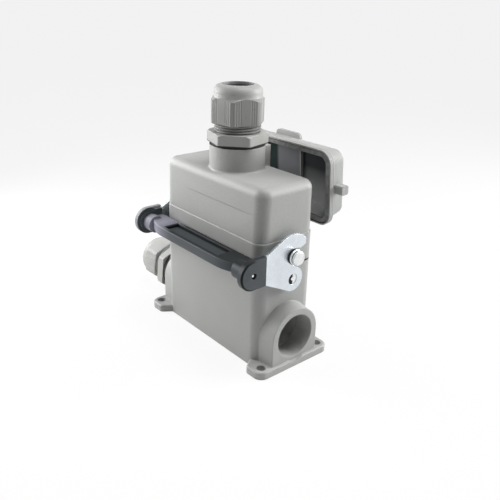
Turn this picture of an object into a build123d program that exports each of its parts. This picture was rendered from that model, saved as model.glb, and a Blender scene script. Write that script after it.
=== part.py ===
"""Heavy duty rectangular connector: a surface-mounted base with a plugged hood, one locking lever,
two cable glands, one open cable entry and a protective cover that stands open behind the hood.

Millimetres. X runs along the connector, Y across it (the lever's bar is in front, at -Y) and Z up.
The origin is the centre of the mounting face, in the middle of the four fixing holes.
"""
import math
import os

from build123d import *

# Contact inserts, round which the housings are sized
insert_length = 84.5
insert_width = 34.0
insert_flange = 3.0
insert_corner_radius = 3.0
insert_screw_inset = 3.5
core_end_step = 9.25
core_side_step = 4.2
insert_gap = 0.4
shroud_wall = 1.6
insert_seat_depth = 13.0
flange_distance = 21.0
female_core_height = 17.5
terminal_depth = 17.0
support_size = 9.6
support_height = 9.0
contact_columns = 8
contact_rows = 2
contact_end_margin = 4.8
contact_side_margin = 6.3
contact_radius = 1.9
pin_radius = 1.25
pin_clearance = 0.05
socket_depth = 13.0
screw_radius = 1.9
screw_head_radius = 3.4
screw_head_height = 2.4
screw_length = 9.0
screw_clearance = 0.1
earth_thickness = 1.0
earth_width = 14.0
earth_gap = 0.3
earth_blade_length = 11.0

# Base housing
base_height = 60.0
base_wall = 3.8
base_floor = 3.5
base_end_clearance = 0.45
base_side_clearance = 0.5
body_corner_radius = 6.9
collar_height = 3.5
collar_thickness = 1.2

# Fixing flange
hole_end_offset = 6.0
hole_side_offset = 1.2
hole_radius = 2.75
ear_radius = 5.4
ear_inner_radius = 3.0
ear_length = 14.0
ear_root_radius = 2.0
ear_root_length = 18.0
flange_thickness = 4.5
flange_edge = 0.7

# Cable entries, the same thread in both ends of the base and in the top of the hood
entry_bore_radius = 13.4
entry_height = 19.3
entry_boss_radius = 17.3
entry_boss_length = 9.5
entry_boss_draft = 7.0
top_boss_radius = 16.3
top_boss_height = 14.0
boss_fillet = 1.2
boss_web_width = 18.0
boss_web_inset = 2.1
boss_web_drop = 1.5

# Hood
hood_rise = 48.0
hood_roof = 3.5
hood_end_draft = 0.3
hood_side_draft = 1.2
hood_end_clearance = 1.05
hood_side_clearance = 0.2
hood_edge_radius = 5.0
ledge_rise = 17.3
ledge_step = 0.45
pocket_gap = 0.5
label_left_margin = 21.5
label_right_margin = 6.5
label_drop = 14.9
label_depth = 0.5

# Seal between base and hood
rim_seal_thickness = 1.2
seal_gap = 0.15

# Locking lever and what it turns on and hooks over
pivot_drop = 5.7
peg_rise = 14.0
stud_radius = 3.3
stud_collar_radius = 5.2
stud_recess = 0.5
stud_depth = 3.0
running_clearance = 0.05
peg_roller_radius = 4.5
peg_head_radius = 4.2
peg_shank_radius = 3.0
peg_length = 9.5
peg_bevel = 0.5
hook_clearance = 0.3
plate_thickness = 1.5
plate_offset = 5.0
plate_side_gap = 0.3
lobe_radius = 7.3
plate_neck_inset = 0.3
plate_neck_low = 2.3
plate_neck_high = 18.9
hook_shoulder_y = -5.8
hook_crown = 8.6
hook_end_y = 8.8
hook_tip_y = 4.8
hook_lip_rise = 1.7
hook_end_height = 3.4
drum_distance = 10.0
drum_rise = 11.6
drum_radius = 8.6
drum_cover = 2.5
drum_depth = 3.6
drum_bevel = 0.8
drum_inner_step = 1.6
drum_inner_depth = 1.5
drum_plate_gap = 1.0
tongue_step = 1.2
hub_radius = 5.4
slot_clearance = 0.1
rivet_radius = 1.6
rivet_recess = 0.7
bar_drop = 2.4
bar_height = 6.2
bar_front_reach = 5.7
bar_gap = 1.1
bar_bend_length = 19.5
bar_bend_depth = 11.2
bar_edge = 0.9
channel_wall = 2.3
channel_depth = 1.8
channel_slot = 1.2

# Protective cover, drawn shut on the base and then turned open about its hinge
cover_open_angle = 85.5
cover_end_overlap = 1.7
cover_side_overlap = 1.4
cover_depth = 14.6
cover_corner_radius = 8.0
cover_rim_depth = 3.0
cover_rim_step = 0.5
cover_hinge_step = 2.4
cover_draft = 8.0
cover_wall = 2.2
cover_back_radius = 3.5
cover_lip = 1.0
cover_step_depth = 2.4
gasket_thickness = 2.0
gasket_clearance = 0.4
cover_pad_length = 27.6
cover_pad_margin = 6.0
cover_pad_rise = 1.8
cover_peg_size = 5.4
cover_peg_length = 5.0
tab_width = 21.0
tab_reach = 1.1
tab_thickness = 1.8
tab_corner_radius = 3.0
hinge_distance = 14.0
hinge_rise = 4.6
hinge_pin_radius = 1.5
knuckle_radius = 3.4
lug_spacing = 46.0
lug_width = 5.0
lug_foot_drop = 14.0
lug_foot_height = 10.0
arm_width = 5.0
arm_side_gap = 0.4
heel_gap = 0.3
heel_thickness = 3.0

# Cable glands, both of one size
gland_neck_radius = 12.9
gland_bore_radius = 9.4
gland_hex_flats = 31.4
gland_hex_height = 6.3
gland_hex_corner_radius = 17.9
gland_corner_bevel = 0.9
gland_neck_height = 4.8
gland_thread_length = 9.5
gland_thread_clearance = 0.1
gland_nut_flats = 28.2
gland_nut_corner_radius = 15.7
gland_nut_height = 21.6
gland_nut_hex_height = 13.2
gland_cone_rise = 1.7
gland_dome_inset = 0.1
gland_dome_corner = 4.6
gland_mouth_radius = 9.1
gland_mouth_length = 2.0
gland_claw_height = 4.0
gland_claw_wall = 1.6
gland_claw_slots = 3
gland_claw_slot = 1.2
gland_seal_length = 10.0
gland_seal_gap = 0.2
gland_seal_grip = 0.6
top_washer_thickness = 1.0
end_washer_thickness = 5.5
washer_radius = 15.4
washer_clearance = 0.6
top_gland_turn = 43.3
top_nut_turn = 9.7
end_gland_turn = 6.0
end_nut_turn = 8.0

# Places that follow from the sizes above
body_length = insert_length + 2 * (base_end_clearance + base_wall)
body_width = insert_width + 2 * (base_side_clearance + base_wall)
half_length = body_length / 2
half_width = body_width / 2
hole_spacing_x = body_length + 2 * hole_end_offset
hole_spacing_y = body_width + 2 * hole_side_offset
flange_reach = hole_spacing_x / 2 + ear_radius
entry_boss_reach = half_length + entry_boss_length
hood_bottom = base_height + rim_seal_thickness
hood_height = base_height + hood_rise
ledge_height = base_height + ledge_rise
label_top = hood_height - label_drop
skirt_pocket_depth = collar_height - rim_seal_thickness + pocket_gap
base_cavity_length = body_length - 2 * base_wall
base_cavity_width = body_width - 2 * base_wall
collar_length = base_cavity_length + 2 * collar_thickness
collar_width = base_cavity_width + 2 * collar_thickness
collar_radius = body_corner_radius - base_wall + collar_thickness
pocket_length = collar_length + 2 * seal_gap
pocket_width = collar_width + 2 * seal_gap
pocket_radius = collar_radius + seal_gap
hood_top_length = body_length - 2 * hood_end_draft
hood_top_width = body_width - 2 * hood_side_draft
hood_cavity_length = insert_length + 2 * hood_end_clearance
hood_cavity_width = insert_width + 2 * hood_side_clearance
hood_cavity_radius = body_corner_radius - (hood_top_width - hood_cavity_width) / 2
shoulder_length = body_length - 2 * ledge_step
shoulder_width = body_width - 2 * ledge_step
wall_slope = (shoulder_width - hood_top_width) / 2 / (hood_height - ledge_height - ledge_step)
top_boss_top = hood_height + top_boss_height
insert_screw_x = insert_length - 2 * insert_screw_inset
insert_screw_y = insert_width - 2 * insert_screw_inset
insert_core_length = insert_length - 2 * core_end_step
insert_core_width = insert_width - 2 * core_side_step
female_flange_bottom = base_height - insert_seat_depth
female_flange_top = female_flange_bottom + insert_flange
male_flange_bottom = female_flange_bottom + flange_distance
male_flange_top = male_flange_bottom + insert_flange
shroud_length = insert_core_length + 2 * (insert_gap + shroud_wall)
shroud_width = insert_core_width + 2 * (insert_gap + shroud_wall)
shroud_bottom = female_flange_top + insert_gap
terminal_length = insert_core_length - 2 * shroud_wall
contact_pitch = (terminal_length - 2 * contact_end_margin) / (contact_columns - 1)
contact_row_pitch = (insert_core_width - 2 * contact_side_margin) / (contact_rows - 1)
male_blade_x = shroud_length / 2 + earth_gap
female_blade_x = male_blade_x + earth_thickness + earth_gap
pivot_height = base_height - pivot_drop
peg_height = pivot_height + peg_rise
peg_reach = half_length + peg_length
plate_outside = half_length + plate_offset
plate_inside = plate_outside - plate_thickness
notch_radius = peg_roller_radius + hook_clearance
hook_track_radius = peg_rise + notch_radius
hook_crown_radius = hook_track_radius + hook_crown
plate_neck_y = plate_neck_inset - half_width
drum_y = -(half_width + drum_distance)
drum_height = pivot_height + drum_rise
drum_outside = plate_outside + drum_cover
drum_inner = drum_outside - drum_depth
drum_inner_radius = drum_radius - drum_inner_step
drum_block_end = plate_neck_y - drum_plate_gap
tongue_radius = drum_inner_radius - tongue_step
bar_bottom = drum_height - bar_drop
bar_front = drum_y - bar_front_reach
bar_back = -(half_width + bar_gap)
bar_straight = half_length - bar_bend_length
cover_length = body_length + 2 * cover_end_overlap
cover_width = body_width + 2 * cover_side_overlap
cover_shell_length = cover_length - 2 * cover_rim_step
cover_shell_width = cover_width - 2 * cover_rim_step - cover_hinge_step
cover_top = hood_bottom + cover_depth
cover_roof_inside = cover_top - cover_wall
hinge_y = half_width + hinge_distance
hinge_height = base_height + hinge_rise
lug_foot_bottom = base_height - lug_foot_drop
lug_foot_top = lug_foot_bottom + lug_foot_height
arm_spacing = lug_spacing - lug_width - arm_width - 2 * arm_side_gap
gland_dome_radius = gland_nut_flats / 2 - gland_dome_inset
entry_plane = Plane.YZ.offset(entry_boss_reach)
ends = (("left", -1), ("right", 1))

os.makedirs("parts", exist_ok=True)


def save(piece, node):
    """Label one finished piece and write it to its own file."""
    piece.label = node
    export_step(piece, f"parts/{node}.step")


def both_ends(piece):
    """Two solids in one node: the piece and its mirror image at the other end."""
    return Compound(children=[piece, piece.mirror(Plane.YZ)])


def make_base_housing():
    """Die-cast base: flange with four ears, walls, side entries, insert supports and hinge lugs.

    Everything is alike at both ends, so one end is built and mirrored.
    """
    lugs = make_hinge_lugs()
    supports = make_insert_supports(female_flange_bottom, -1, base_cavity_length, base_cavity_width)
    with BuildPart() as base:
        with BuildSketch():
            make_flange_quarter()
        extrude(amount=flange_thickness)
        mirror(about=Plane.XZ)
        flange_top = base.faces().sort_by(Axis.Z)[-1]
        chamfer(flange_top.edges().filter_by_position(Axis.X, half_length, flange_reach), flange_edge)
        with BuildSketch(entry_plane):
            with Locations((0, entry_height)):
                Circle(entry_boss_radius)
            Rectangle(2 * entry_boss_radius, entry_height, align=(Align.CENTER, Align.MIN))
        extrude(amount=-(entry_boss_reach - half_length + base_wall / 2), taper=-entry_boss_draft)
        mirror(about=Plane.YZ)
        split(bisect_by=Plane.XY, keep=Keep.TOP)
        with BuildSketch():
            RectangleRounded(body_length, body_width, body_corner_radius)
        extrude(amount=base_height)
        with BuildSketch(Plane.XY.offset(base_height)):
            RectangleRounded(collar_length, collar_width, collar_radius)
        extrude(amount=collar_height)
        add(lugs)
        with BuildSketch(Plane.XY.offset(base_floor)):
            RectangleRounded(base_cavity_length, base_cavity_width, body_corner_radius - base_wall)
        extrude(amount=base_height + collar_height, mode=Mode.SUBTRACT)
        add(supports)
        with Locations(*[plane_at_end(side, entry_height, flange_reach) for _, side in ends]):
            Hole(washer_radius + washer_clearance, depth=flange_reach - entry_boss_reach)
        with Locations(*[plane_at_end(side, entry_height, entry_boss_reach) for _, side in ends]):
            Hole(entry_bore_radius, depth=entry_boss_reach - half_length + base_wall)
        with Locations(*[plane_at_end(side, pivot_height, half_length) for _, side in ends]):
            Hole(stud_radius, depth=stud_depth)
        with Locations(Plane.XY.offset(flange_thickness)):
            with GridLocations(hole_spacing_x, hole_spacing_y, 2, 2):
                Hole(hole_radius, depth=flange_thickness)
    return base.part


def make_flange_quarter():
    """One corner of the flange: the ear round its hole, its inner end and the straight end edge."""
    side_edge = hole_spacing_y / 2 + ear_radius
    with Locations((hole_spacing_x / 2, hole_spacing_y / 2)):
        Circle(ear_radius)
    with Locations((flange_reach - ear_length + ear_inner_radius, side_edge - ear_inner_radius)):
        Circle(ear_inner_radius)
    with Locations((flange_reach - ear_root_length + ear_root_radius, half_width - ear_root_radius)):
        Circle(ear_root_radius)
    with Locations((flange_reach - ear_root_radius, 0)):
        Circle(ear_root_radius)
    make_hull()


def plane_at_end(side, height, reach):
    """A plane at the left (-1) or right (1) end, facing outwards."""
    return Plane(origin=(side * reach, 0, height), x_dir=(0, side, 0), z_dir=(side, 0, 0))


def make_insert_supports(flange_face, direction, cavity_length, cavity_width):
    """Four corner blocks with screw holes that carry an insert's flange, below (-1) or above it (1)."""
    overlap = base_wall / 2
    with BuildPart() as supports:
        with BuildSketch(Plane.XY.offset(flange_face)):
            RectangleRounded(cavity_length + overlap, cavity_width + overlap, body_corner_radius - overlap)
            Rectangle(cavity_length + 2 * overlap, insert_screw_y - support_size, mode=Mode.SUBTRACT)
            Rectangle(insert_screw_x - support_size, cavity_width + 2 * overlap, mode=Mode.SUBTRACT)
            with GridLocations(insert_screw_x, insert_screw_y, 2, 2):
                Circle(screw_radius + screw_clearance, mode=Mode.SUBTRACT)
        extrude(amount=direction * support_height)
    return supports.part


def make_hinge_lugs():
    """Two lugs that rise from the base's rear wall and carry the cover's pin clear of the hood."""
    with BuildPart() as lugs:
        with BuildSketch(Plane.YZ.offset(lug_spacing / 2 - lug_width / 2)):
            with Locations((hinge_y, hinge_height)):
                Circle(knuckle_radius)
            with Locations((half_width - base_wall / 2, (lug_foot_bottom + lug_foot_top) / 2)):
                Rectangle(base_wall / 2, lug_foot_top - lug_foot_bottom)
            make_hull()
        extrude(amount=lug_width)
        with Locations(Plane.YZ.offset(lug_spacing / 2 + lug_width / 2)):
            with Locations((hinge_y, hinge_height)):
                Hole(hinge_pin_radius, depth=lug_width)
        mirror(about=Plane.YZ)
    return lugs.part


def make_hood_housing():
    """Die-cast hood: straight skirt, small ledge, tapered walls, rounded top, and the cable boss with its web."""
    supports = make_insert_supports(male_flange_top, 1, hood_cavity_length, hood_cavity_width)
    label_field = make_label_field()
    with BuildPart() as hood:
        with BuildSketch(Plane.XY.offset(ledge_height + ledge_step)):
            RectangleRounded(shoulder_length, shoulder_width, body_corner_radius)
        with BuildSketch(Plane.XY.offset(hood_height)):
            RectangleRounded(hood_top_length, hood_top_width, body_corner_radius)
        loft(ruled=True)
        fillet(hood.faces().sort_by(Axis.Z)[-1].edges(), hood_edge_radius)
        with BuildSketch(Plane.XY.offset(hood_bottom)):
            RectangleRounded(body_length, body_width, body_corner_radius)
        extrude(amount=ledge_height - hood_bottom)
        with BuildSketch(Plane.XY.offset(ledge_height)):
            RectangleRounded(body_length, body_width, body_corner_radius)
        with BuildSketch(Plane.XY.offset(ledge_height + ledge_step)):
            RectangleRounded(shoulder_length, shoulder_width, body_corner_radius)
        loft(ruled=True)
        add(label_field, mode=Mode.SUBTRACT)
        with BuildSketch(Plane.XY.offset(hood_height - hood_roof)):
            Circle(top_boss_radius)
        extrude(amount=hood_roof + top_boss_height)
        foot = hood.edges().filter_by(GeomType.CIRCLE).filter_by_position(
            Axis.Z, hood_height - boss_fillet / 10, hood_height + boss_fillet / 10)
        fillet(foot, boss_fillet)
        with BuildSketch(Plane.XY.offset(hood_height - hood_roof)):
            Rectangle(boss_web_width, hood_top_width / 2 - boss_web_inset, align=(Align.CENTER, Align.MIN))
        extrude(amount=hood_roof + top_boss_height - boss_web_drop)
        with BuildSketch(Plane.XY.offset(hood_bottom)):
            RectangleRounded(hood_cavity_length, hood_cavity_width, hood_cavity_radius)
        extrude(amount=hood_height - hood_roof - hood_bottom, mode=Mode.SUBTRACT)
        with BuildSketch(Plane.XY.offset(hood_bottom)):
            RectangleRounded(pocket_length, pocket_width, pocket_radius)
        extrude(amount=skirt_pocket_depth, mode=Mode.SUBTRACT)
        add(supports)
        with Locations((0, 0, top_boss_top)):
            Hole(entry_bore_radius, depth=hood_roof + top_boss_height)
        with Locations(*[plane_at_end(side, peg_height, half_length) for _, side in ends]):
            Hole(peg_shank_radius, depth=half_length - hood_cavity_length / 2)
    return hood.part


def make_label_field():
    """Shallow bow cut from the hood's front face: a step at its top that runs out at the ledge."""
    front_top = -(hood_top_width / 2 + (hood_height - label_top) * wall_slope)
    front_low = -shoulder_width / 2
    left = label_left_margin - half_length
    right = half_length - label_right_margin
    fall = Vector(0, front_low - label_depth - front_top, ledge_height + ledge_step - label_top)
    with BuildPart() as field:
        with BuildSketch(Plane.XY.offset(label_top)):
            with BuildLine():
                ThreePointArc(
                    (left, front_top), ((left + right) / 2, front_top + label_depth), (right, front_top)
                )
                Polyline(
                    (right, front_top),
                    (right, front_top - label_depth),
                    (left, front_top - label_depth),
                    (left, front_top),
                )
            make_face()
        extrude(amount=fall.length, dir=fall)
    return field.part


def make_rim_seal():
    """Rubber seal on the base's shoulder, round the collar."""
    with BuildPart() as seal:
        with BuildSketch(Plane.XY.offset(base_height)):
            RectangleRounded(body_length - 2 * seal_gap, body_width - 2 * seal_gap, body_corner_radius - seal_gap)
            RectangleRounded(pocket_length, pocket_width, pocket_radius, mode=Mode.SUBTRACT)
        extrude(amount=rim_seal_thickness)
    return seal.part


def contact_grid():
    return GridLocations(contact_pitch, contact_row_pitch, contact_columns, contact_rows)


def screw_grid():
    return GridLocations(insert_screw_x, insert_screw_y, 2, 2)


def make_female_insert():
    """Socket insert: screwed flange, core above it and terminal block below it, with through holes."""
    with BuildPart() as insert:
        with BuildSketch(Plane.XY.offset(female_flange_bottom)):
            RectangleRounded(insert_length, insert_width, insert_corner_radius)
            with screw_grid():
                Circle(screw_radius + screw_clearance, mode=Mode.SUBTRACT)
        extrude(amount=insert_flange)
        with BuildSketch(Plane.XY.offset(female_flange_bottom - terminal_depth)):
            Rectangle(terminal_length, insert_core_width)
        extrude(amount=terminal_depth)
        with BuildSketch(Plane.XY.offset(female_flange_top)):
            RectangleRounded(insert_core_length, insert_core_width, insert_corner_radius - shroud_wall)
        extrude(amount=female_core_height)
        with BuildSketch(Plane.XY.offset(female_flange_bottom - terminal_depth)):
            with contact_grid():
                Circle(contact_radius + pin_clearance)
        extrude(amount=terminal_depth + insert_flange + female_core_height, mode=Mode.SUBTRACT)
    return insert.part


def make_male_insert():
    """Pin insert: flange, a shroud down over the socket core and a terminal block above it."""
    with BuildPart() as insert:
        with BuildSketch(Plane.XY.offset(male_flange_bottom)):
            RectangleRounded(insert_length, insert_width, insert_corner_radius)
            with screw_grid():
                Circle(screw_radius + screw_clearance, mode=Mode.SUBTRACT)
        extrude(amount=insert_flange)
        with BuildSketch(Plane.XY.offset(male_flange_top)):
            Rectangle(terminal_length, insert_core_width)
        extrude(amount=terminal_depth)
        with BuildSketch(Plane.XY.offset(shroud_bottom)):
            RectangleRounded(shroud_length, shroud_width, insert_corner_radius)
            RectangleRounded(
                shroud_length - 2 * shroud_wall,
                shroud_width - 2 * shroud_wall,
                insert_corner_radius - shroud_wall,
                mode=Mode.SUBTRACT,
            )
        extrude(amount=male_flange_bottom - shroud_bottom)
        with BuildSketch(Plane.XY.offset(male_flange_bottom)):
            with contact_grid():
                Circle(contact_radius + pin_clearance)
        extrude(amount=insert_flange + terminal_depth, mode=Mode.SUBTRACT)
    return insert.part


def make_female_contacts():
    """Sixteen turned sockets, each bored from the top for its pin."""
    core_top = female_flange_top + female_core_height - insert_gap
    with BuildPart() as contacts:
        with BuildSketch(Plane.XY.offset(female_flange_bottom - terminal_depth / 2)):
            with contact_grid():
                Circle(contact_radius)
        extrude(amount=core_top - female_flange_bottom + terminal_depth / 2)
        with BuildSketch(Plane.XY.offset(core_top)):
            with contact_grid():
                Circle(pin_radius + pin_clearance)
        extrude(amount=-socket_depth, mode=Mode.SUBTRACT)
    return contacts.part


def make_male_contacts():
    """Sixteen turned pins, thick in the terminal block and thin where they enter the sockets."""
    core_top = female_flange_top + female_core_height - insert_gap
    pin_tip = core_top - socket_depth + 2 * insert_gap
    with BuildPart() as contacts:
        with BuildSketch(Plane.XY.offset(male_flange_bottom)):
            with contact_grid():
                Circle(contact_radius)
        extrude(amount=insert_flange + terminal_depth / 2)
        with BuildSketch(Plane.XY.offset(male_flange_bottom)):
            with contact_grid():
                Circle(pin_radius)
        extrude(amount=pin_tip - male_flange_bottom)
    return contacts.part


def make_insert_screws(flange_face, direction):
    """Four captive screws whose heads press the insert's flange onto its supports."""
    with BuildPart() as screws:
        with BuildSketch(Plane.XY.offset(flange_face)):
            with screw_grid():
                Circle(screw_head_radius)
        extrude(amount=-direction * screw_head_height)
        with BuildSketch(Plane.XY.offset(flange_face)):
            with screw_grid():
                Circle(screw_radius)
        extrude(amount=direction * screw_length)
    return screws.part


def make_earth_clips(flange_face, direction, blade_x, blade_length):
    """Two L-shaped earth clips, one at each end of an insert: a foot on the flange and a blade."""
    foot_end = insert_screw_x / 2 + screw_radius
    with BuildPart() as clip:
        with BuildSketch(Plane.XZ.offset(-earth_width / 2)):
            with BuildLine():
                Polyline(
                    (blade_x, flange_face),
                    (foot_end, flange_face),
                    (foot_end, flange_face + direction * earth_thickness),
                    (blade_x + earth_thickness, flange_face + direction * earth_thickness),
                    (blade_x + earth_thickness, flange_face + direction * blade_length),
                    (blade_x, flange_face + direction * blade_length),
                    close=True,
                )
            make_face()
        extrude(amount=earth_width)
    return both_ends(clip.part)


def make_lever_studs():
    """Two pins pressed into the base's ends. Their collars space the side plates off the wall."""
    with BuildPart() as stud:
        with Locations(plane_at_end(1, pivot_height, half_length - stud_depth)):
            Cylinder(stud_radius, stud_depth + plate_outside - stud_recess - half_length,
                     align=(Align.CENTER, Align.CENTER, Align.MIN))
        with Locations(plane_at_end(1, pivot_height, half_length)):
            Cylinder(stud_collar_radius, plate_inside - plate_side_gap - half_length,
                     align=(Align.CENTER, Align.CENTER, Align.MIN))
    return both_ends(stud.part)


def make_hood_pegs():
    """Two turned locking pegs in the hood's ends: shank, roller under the hook and a bevelled head."""
    wall_inside = hood_cavity_length / 2
    roller_end = plate_outside + plate_thickness
    with BuildPart() as peg:
        with BuildSketch(Plane.XZ):
            with BuildLine():
                Polyline(
                    (wall_inside, 0),
                    (wall_inside, peg_shank_radius),
                    (half_length, peg_shank_radius),
                    (half_length, peg_roller_radius),
                    (roller_end, peg_roller_radius),
                    (roller_end, peg_head_radius),
                    (peg_reach - peg_bevel, peg_head_radius),
                    (peg_reach, peg_head_radius - peg_bevel),
                    (peg_reach, 0),
                    close=True,
                )
            make_face()
        revolve(axis=Axis.X)
    return both_ends(Pos(0, 0, peg_height) * peg.part)


def tangent_angle():
    """Slope of the line that leaves the notch and runs onto the lobe round the pivot."""
    return math.acos((lobe_radius + notch_radius) / peg_rise)


def make_lever_plate(side):
    """Steel side plate: a tongue in the handle, the hook over the peg and the lobe round the pivot."""
    slope = tangent_angle()
    down_right = (math.sin(slope), math.cos(slope))
    notch_low = (-notch_radius * down_right[0], peg_height - notch_radius * down_right[1])
    lobe_high = (lobe_radius * down_right[0], pivot_height + lobe_radius * down_right[1])
    hook_tip = (hook_tip_y, pivot_height + math.sqrt(hook_track_radius**2 - hook_tip_y**2))
    hook_end_bottom = hook_tip[1] + hook_lip_rise
    hook_end_top = hook_end_bottom + hook_end_height
    neck_bottom = pivot_height + plate_neck_low
    neck_top = pivot_height + plate_neck_high
    track_mid_angle = math.radians(90) - math.asin(hook_tip_y / hook_track_radius) / 2
    track_mid = (
        hook_track_radius * math.cos(track_mid_angle),
        pivot_height + hook_track_radius * math.sin(track_mid_angle),
    )
    notch_top = (0, peg_height + notch_radius)
    shoulder = (hook_shoulder_y, pivot_height + math.sqrt(hook_crown_radius**2 - hook_shoulder_y**2))
    crown = (0, pivot_height + hook_crown_radius)
    under = (-lobe_radius * math.sin(slope), pivot_height - lobe_radius * math.cos(slope))
    with BuildPart() as plate:
        with BuildSketch(Plane.YZ.offset(plate_inside)):
            with BuildLine():
                Line((plate_neck_y, neck_bottom), (plate_neck_y, neck_top))
                Line((plate_neck_y, neck_top), shoulder)
                ThreePointArc(shoulder, crown, (hook_end_y, hook_end_top))
                Line((hook_end_y, hook_end_top), (hook_end_y, hook_end_bottom))
                Line((hook_end_y, hook_end_bottom), hook_tip)
                ThreePointArc(hook_tip, track_mid, notch_top)
                ThreePointArc(notch_top, (-notch_radius, peg_height), notch_low)
                Line(notch_low, lobe_high)
                ThreePointArc(lobe_high, (lobe_radius, pivot_height), under)
                Line(under, (plate_neck_y, neck_bottom))
            make_face()
            make_tongue(0)
            with Locations((0, pivot_height)):
                Circle(stud_radius + running_clearance, mode=Mode.SUBTRACT)
            with Locations((drum_y, drum_height)):
                Circle(rivet_radius + slot_clearance, mode=Mode.SUBTRACT)
        extrude(amount=plate_thickness)
    return plate.part if side > 0 else plate.part.mirror(Plane.YZ)


def make_tongue(gap):
    """Outline of the plate's tongue, from the neck back to its round end in the drum, grown by a gap."""
    with Locations((drum_y, drum_height)):
        Circle(tongue_radius + gap)
        Rectangle(plate_neck_y - drum_y + gap, 2 * (tongue_radius + gap), align=(Align.MIN, Align.CENTER))


def make_drum_outline(radius):
    """Round in front and square towards the plate, as the handle's ends are."""
    with Locations((drum_y, drum_height)):
        Circle(radius)
        Rectangle(drum_block_end - drum_y, 2 * radius, align=(Align.MIN, Align.CENTER))


def make_lever_handle():
    """Moulded handle: the curved bar with its top channel, and a drum with a plate slot at each end."""
    drum = make_drum()
    slot = make_plate_slot()
    bar_top = bar_bottom + bar_height
    bar_middle = (bar_front + bar_back) / 2
    channel_width = bar_back - bar_front - 2 * channel_wall
    with BuildPart() as handle:
        with BuildSketch(Plane.XY.offset(bar_bottom)):
            with BuildLine():
                make_bar_outline()
            make_face()
        extrude(amount=bar_height)
        fillet(handle.edges().filter_by(Axis.X), bar_edge)
        with BuildSketch(Plane.XY.offset(bar_top)):
            with Locations((0, bar_middle)):
                Rectangle(2 * bar_straight, channel_width)
        extrude(amount=-channel_depth, mode=Mode.SUBTRACT)
        with BuildSketch(Plane.XY.offset(bar_top)):
            with Locations((0, bar_middle)):
                with GridLocations(2 * bar_straight - channel_slot, 1, 2, 1):
                    Rectangle(channel_slot, channel_width)
        extrude(amount=-2 * channel_depth, mode=Mode.SUBTRACT)
        add(drum)
        add(drum.mirror(Plane.YZ))
        add(slot, mode=Mode.SUBTRACT)
        add(slot.mirror(Plane.YZ), mode=Mode.SUBTRACT)
    return handle.part


def make_bar_outline():
    """Straight in the middle; towards each drum the front curves back on an arc."""
    reach = drum_inner - bar_straight
    bend_radius = (reach**2 + bar_bend_depth**2) / (2 * bar_bend_depth)
    half_turn = math.asin(reach / bend_radius) / 2
    mid_step = bend_radius * (1 - math.cos(half_turn))
    mid_reach = bar_straight + bend_radius * math.sin(half_turn)
    Line((-bar_straight, bar_front), (bar_straight, bar_front))
    for side in (-1, 1):
        corner = (side * drum_inner, bar_front + bar_bend_depth)
        ThreePointArc((side * bar_straight, bar_front), (side * mid_reach, bar_front + mid_step), corner)
        Line(corner, (side * drum_inner, bar_back))
    Line((-drum_inner, bar_back), (drum_inner, bar_back))


def make_drum():
    """The handle's right end: bevelled drum with its square side to the plate, inner face and hub."""
    with BuildPart() as drum:
        with BuildSketch(Plane.YZ.offset(drum_inner)):
            make_drum_outline(drum_radius)
        extrude(amount=drum_depth)
        chamfer(drum.faces().sort_by(Axis.X)[-1].edges(), drum_bevel)
        with BuildSketch(Plane.YZ.offset(drum_inner)):
            make_drum_outline(drum_inner_radius)
        extrude(amount=-drum_inner_depth)
        with BuildSketch(Plane.YZ.offset(drum_inner)):
            with Locations((drum_y, drum_height)):
                Circle(hub_radius)
        extrude(amount=-(drum_inner - half_length + hub_radius))
    return drum.part


def make_plate_slot():
    """What the plate's tongue and its rivet take out of the handle's right end."""
    with BuildPart() as slot:
        with BuildSketch(Plane.YZ.offset(plate_inside - slot_clearance)):
            make_tongue(slot_clearance)
        extrude(amount=plate_thickness + 2 * slot_clearance)
        with BuildSketch(Plane.YZ.offset(half_length)):
            with Locations((drum_y, drum_height)):
                Circle(rivet_radius + slot_clearance)
        extrude(amount=drum_outside - half_length)
    return slot.part


def make_lever_rivets():
    """Two pins that hold the side plates in the drums, sunk below the drums' faces."""
    with BuildPart() as rivet:
        with Locations(plane_at_end(1, 0, half_length)):
            with Locations((drum_y, drum_height)):
                Cylinder(rivet_radius, drum_outside - rivet_recess - half_length,
                         align=(Align.CENTER, Align.CENTER, Align.MIN))
    return both_ends(rivet.part)


def turned_open(piece):
    """Swing a piece of the cover from its shut place on the base to the angle at which it stands open."""
    hinge = Pos(0, hinge_y, hinge_height)
    return hinge * Rot(-cover_open_angle, 0, 0) * hinge.inverse() * piece


def make_protective_cover():
    """Moulded cover: the shell with its pegs and tab on two hinge arms, whose heels stop it at the base."""
    shell = turned_open(make_cover_shell())
    heels = make_cover_heels()
    with BuildPart() as cover:
        add(shell)
        add(heels)
        with Locations((0, hinge_y, hinge_height)):
            Cylinder(
                hinge_pin_radius + running_clearance, lug_spacing, rotation=(0, 90, 0), mode=Mode.SUBTRACT)
    return cover.part


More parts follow.
